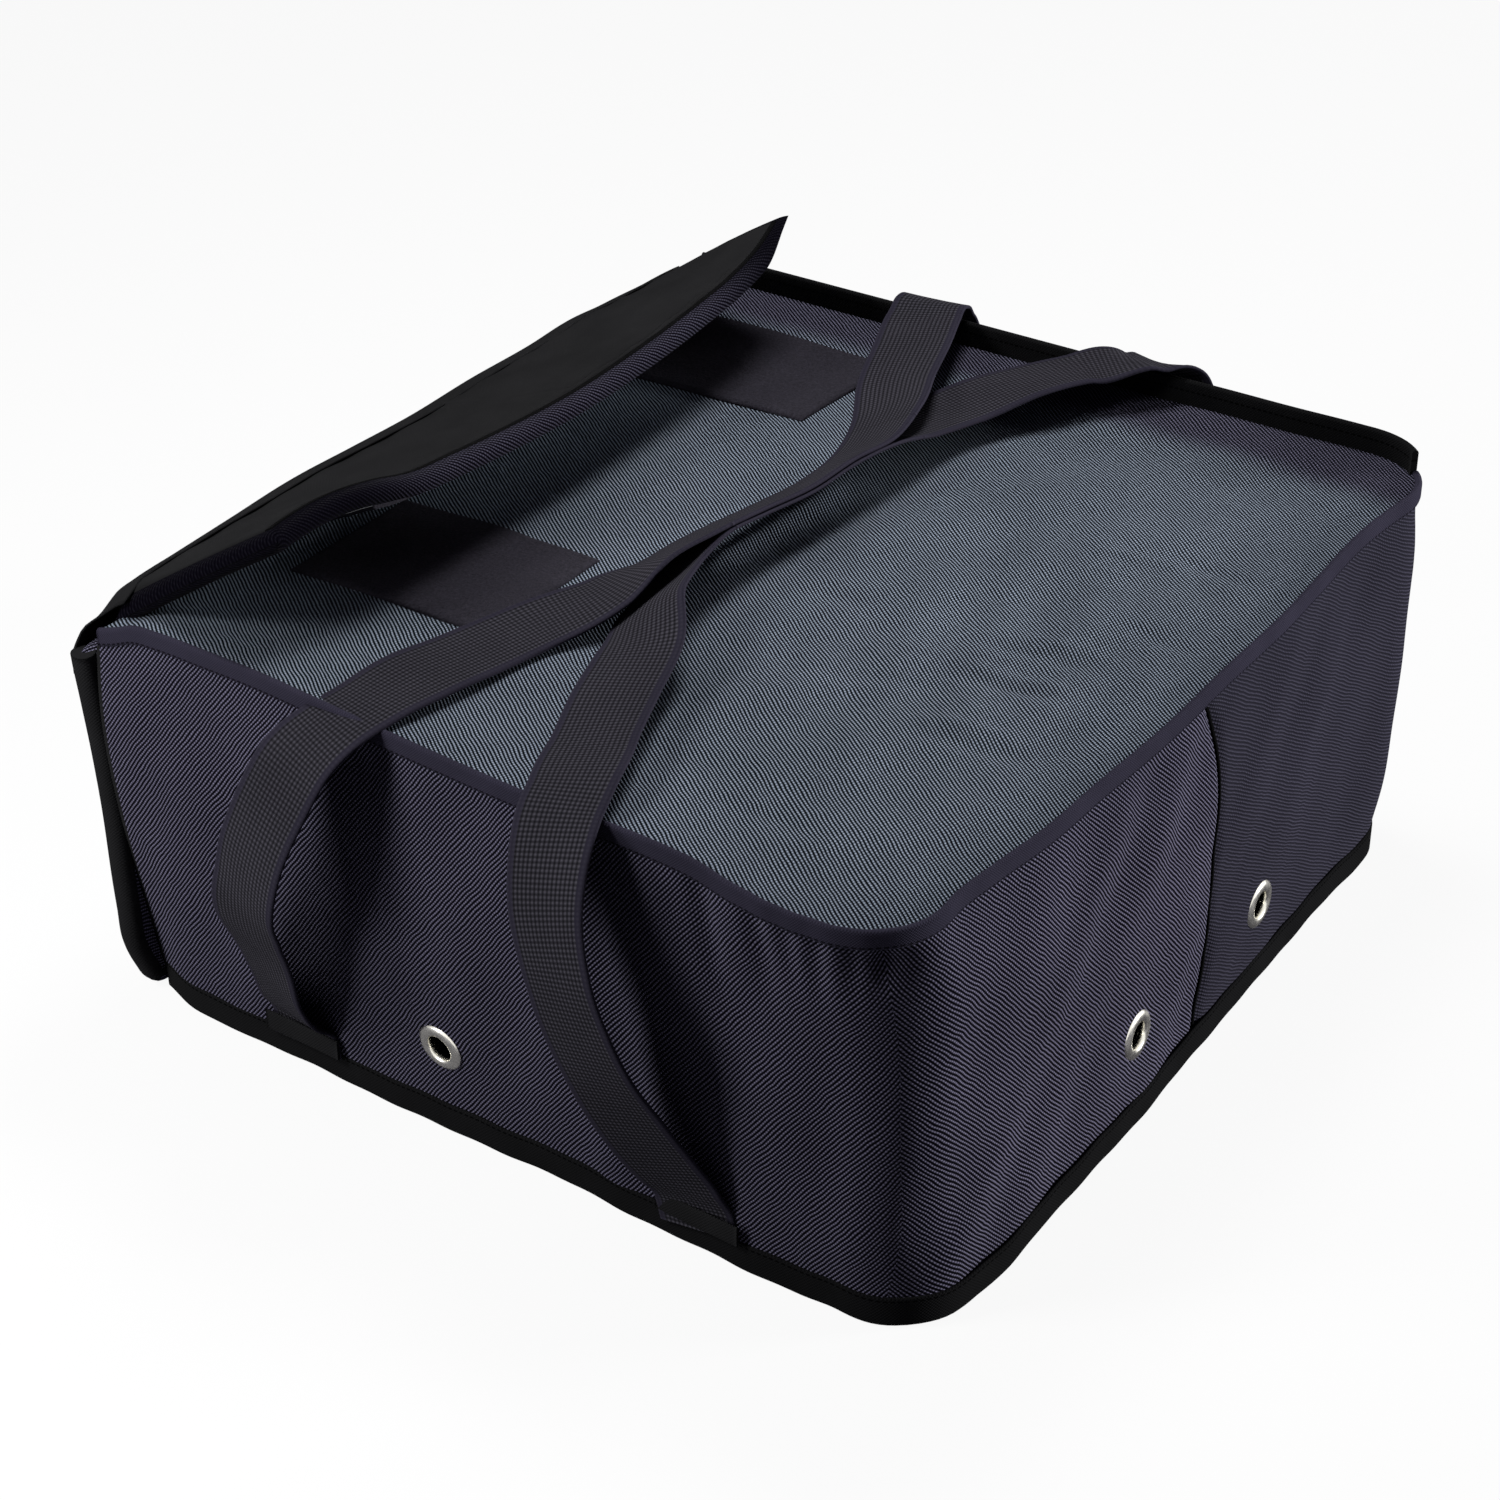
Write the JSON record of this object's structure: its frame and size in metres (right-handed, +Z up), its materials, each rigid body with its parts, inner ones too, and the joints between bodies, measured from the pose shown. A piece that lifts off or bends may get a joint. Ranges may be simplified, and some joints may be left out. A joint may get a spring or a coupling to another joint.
{
  "type": "pizza delivery bag",
  "caption": "Insulated pizza delivery bag with an end opening, a fold-over cover with a hook-and-loop flap, and two webbing carrying straps.",
  "frame": {"origin": "under the middle of the base, on the surface the bag stands on", "axes": "+Z up, -X towards the mouth and its cover, -Y towards the front"},
  "size_m": [0.4323, 0.5431, 0.2643],
  "materials": {
    "side_cloth": "matte navy twill",
    "top_cloth": "matte slate blue twill",
    "black_cloth": "smooth black cloth",
    "edge_cloth": "smooth folded band",
    "black_tape": "matte binding tape",
    "strap_webbing": "ribbed webbing",
    "loop_cloth": "soft loop pile",
    "hook_cloth": "hook tape",
    "foam": "closed cell foam",
    "foil": "silvered lining",
    "nickel": "nickel plate"
  },
  "bodies": {
    "bag": {"front_side_panel": "side_cloth", "rear_side_panel": "side_cloth", "top_panel": "top_cloth", "base_panel": "black_cloth", "top_edge_band": "edge_cloth", "base_tape": "black_tape", "back_edge_tape": "black_tape", "mouth_tape": "black_tape", "left_strap_front_tab": "black_tape", "left_strap_back_tab": "black_tape", "right_strap_front_tab": "black_tape", "right_strap_back_tab": "black_tape", "loop_patch_front": "loop_cloth", "loop_patch_rear": "loop_cloth", "base_padding": "foam", "top_padding": "foam", "front_side_padding": "foam", "rear_side_padding": "foam", "base_lining": "foil", "top_lining": "foil", "front_side_lining": "foil", "rear_side_lining": "foil", "front_eyelet": "nickel", "front_eyelet_washer": "nickel", "rear_eyelet": "nickel", "rear_eyelet_washer": "nickel", "end_front_eyelet": "nickel", "end_front_eyelet_washer": "nickel", "end_rear_eyelet": "nickel", "end_rear_eyelet_washer": "nickel"},
    "cover": {"cover_panel": "side_cloth", "cover_padding": "foam", "cover_lining": "foil", "cover_tape": "black_tape", "flap_fold": "black_tape"},
    "flap": {"flap_panel": "side_cloth", "flap_padding": "foam", "flap_lining": "foil", "flap_tape": "black_tape", "flap_badge": "black_cloth", "hook_patch_front": "hook_cloth", "hook_patch_rear": "hook_cloth"},
    "handle": {"left_strap_front": "strap_webbing", "left_strap_grip": "strap_webbing", "left_strap_back": "strap_webbing", "right_strap_front": "strap_webbing", "right_strap_grip": "strap_webbing", "right_strap_back": "strap_webbing"}
  },
  "joints": [
    {"name": "cover_fold", "type": "hinge", "parent": "bag", "child": "cover", "pos_m": [-0.215, 0, 0], "axis": [0, -1, 0], "range_deg": [0, 90]},
    {"name": "flap_fold", "type": "hinge", "parent": "cover", "child": "flap", "pos_m": [-0.2034, 0, 0.2034], "axis": [0, -1, 0], "range_deg": [-28, 62]},
    {"name": "handle_lift", "type": "slide", "parent": "bag", "child": "handle", "axis": [0, 0, 1], "range_m": [0, 0.09], "deforming": ["left_strap_front", "left_strap_back", "right_strap_front", "right_strap_back"]}
  ]
}
